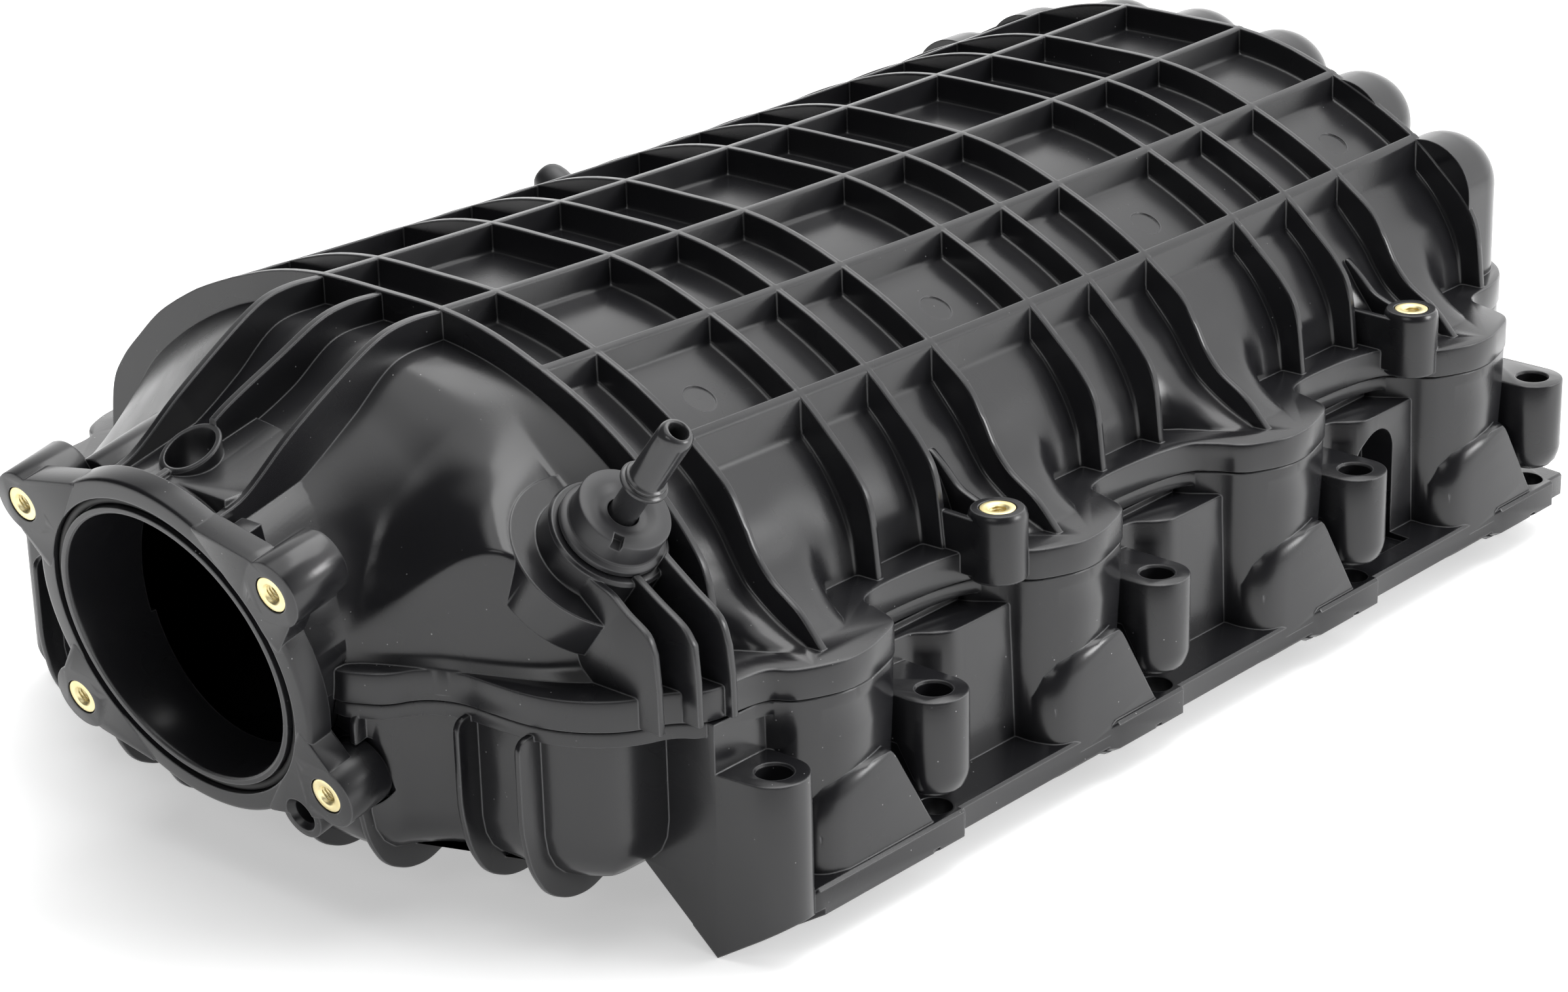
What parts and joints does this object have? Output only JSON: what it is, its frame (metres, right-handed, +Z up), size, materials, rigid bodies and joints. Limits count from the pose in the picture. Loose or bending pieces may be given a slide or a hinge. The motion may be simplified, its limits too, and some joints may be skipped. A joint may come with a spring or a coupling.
{
  "type": "intake manifold",
  "caption": "Plastic V8 intake manifold: ribbed domed plenum, round throttle flange, curved runners down to sloped port faces on both sides, and a vacuum nipple.",
  "frame": {"origin": "middle of the manifold's length and width, at the height of the lowest edges of the port faces", "axes": "+X across the engine towards the vacuum port side, +Y from the throttle flange to the rear, +Z up"},
  "size_m": [0.343, 0.545, 0.1706],
  "materials": {
    "black_plastic": "glass-filled nylon, satin, moulded",
    "cap_plastic": "satin moulded plastic",
    "nipple_gloss": "glossy black tube",
    "brass": "bright machined pale brass",
    "seal_rubber": "matt black rubber",
    "sleeve_steel": "zinc plated steel"
  },
  "bodies": {
    "root": {"upper_shell": "black_plastic", "lower_shell": "black_plastic", "inner_runner_shell": "black_plastic", "vacuum_port_cap": "cap_plastic", "vacuum_port_nipple": "nipple_gloss", "side_port_tube": "cap_plastic", "throttle_insert_1": "brass", "throttle_insert_2": "brass", "throttle_insert_3": "brass", "throttle_insert_4": "brass", "cover_insert_1": "brass", "cover_insert_2": "brass", "cover_insert_3": "brass", "cover_insert_4": "brass", "throttle_seal": "seal_rubber", "port_seal_right_1": "seal_rubber", "port_seal_right_2": "seal_rubber", "port_seal_right_3": "seal_rubber", "port_seal_right_4": "seal_rubber", "bolt_sleeve_right_1": "sleeve_steel", "bolt_sleeve_right_2": "sleeve_steel", "bolt_sleeve_right_3": "sleeve_steel", "bolt_sleeve_right_4": "sleeve_steel", "bolt_sleeve_right_5": "sleeve_steel", "port_seal_left_1": "seal_rubber", "port_seal_left_2": "seal_rubber", "port_seal_left_3": "seal_rubber", "port_seal_left_4": "seal_rubber", "bolt_sleeve_left_1": "sleeve_steel", "bolt_sleeve_left_2": "sleeve_steel", "bolt_sleeve_left_3": "sleeve_steel", "bolt_sleeve_left_4": "sleeve_steel", "bolt_sleeve_left_5": "sleeve_steel"}
  },
  "joints": []
}
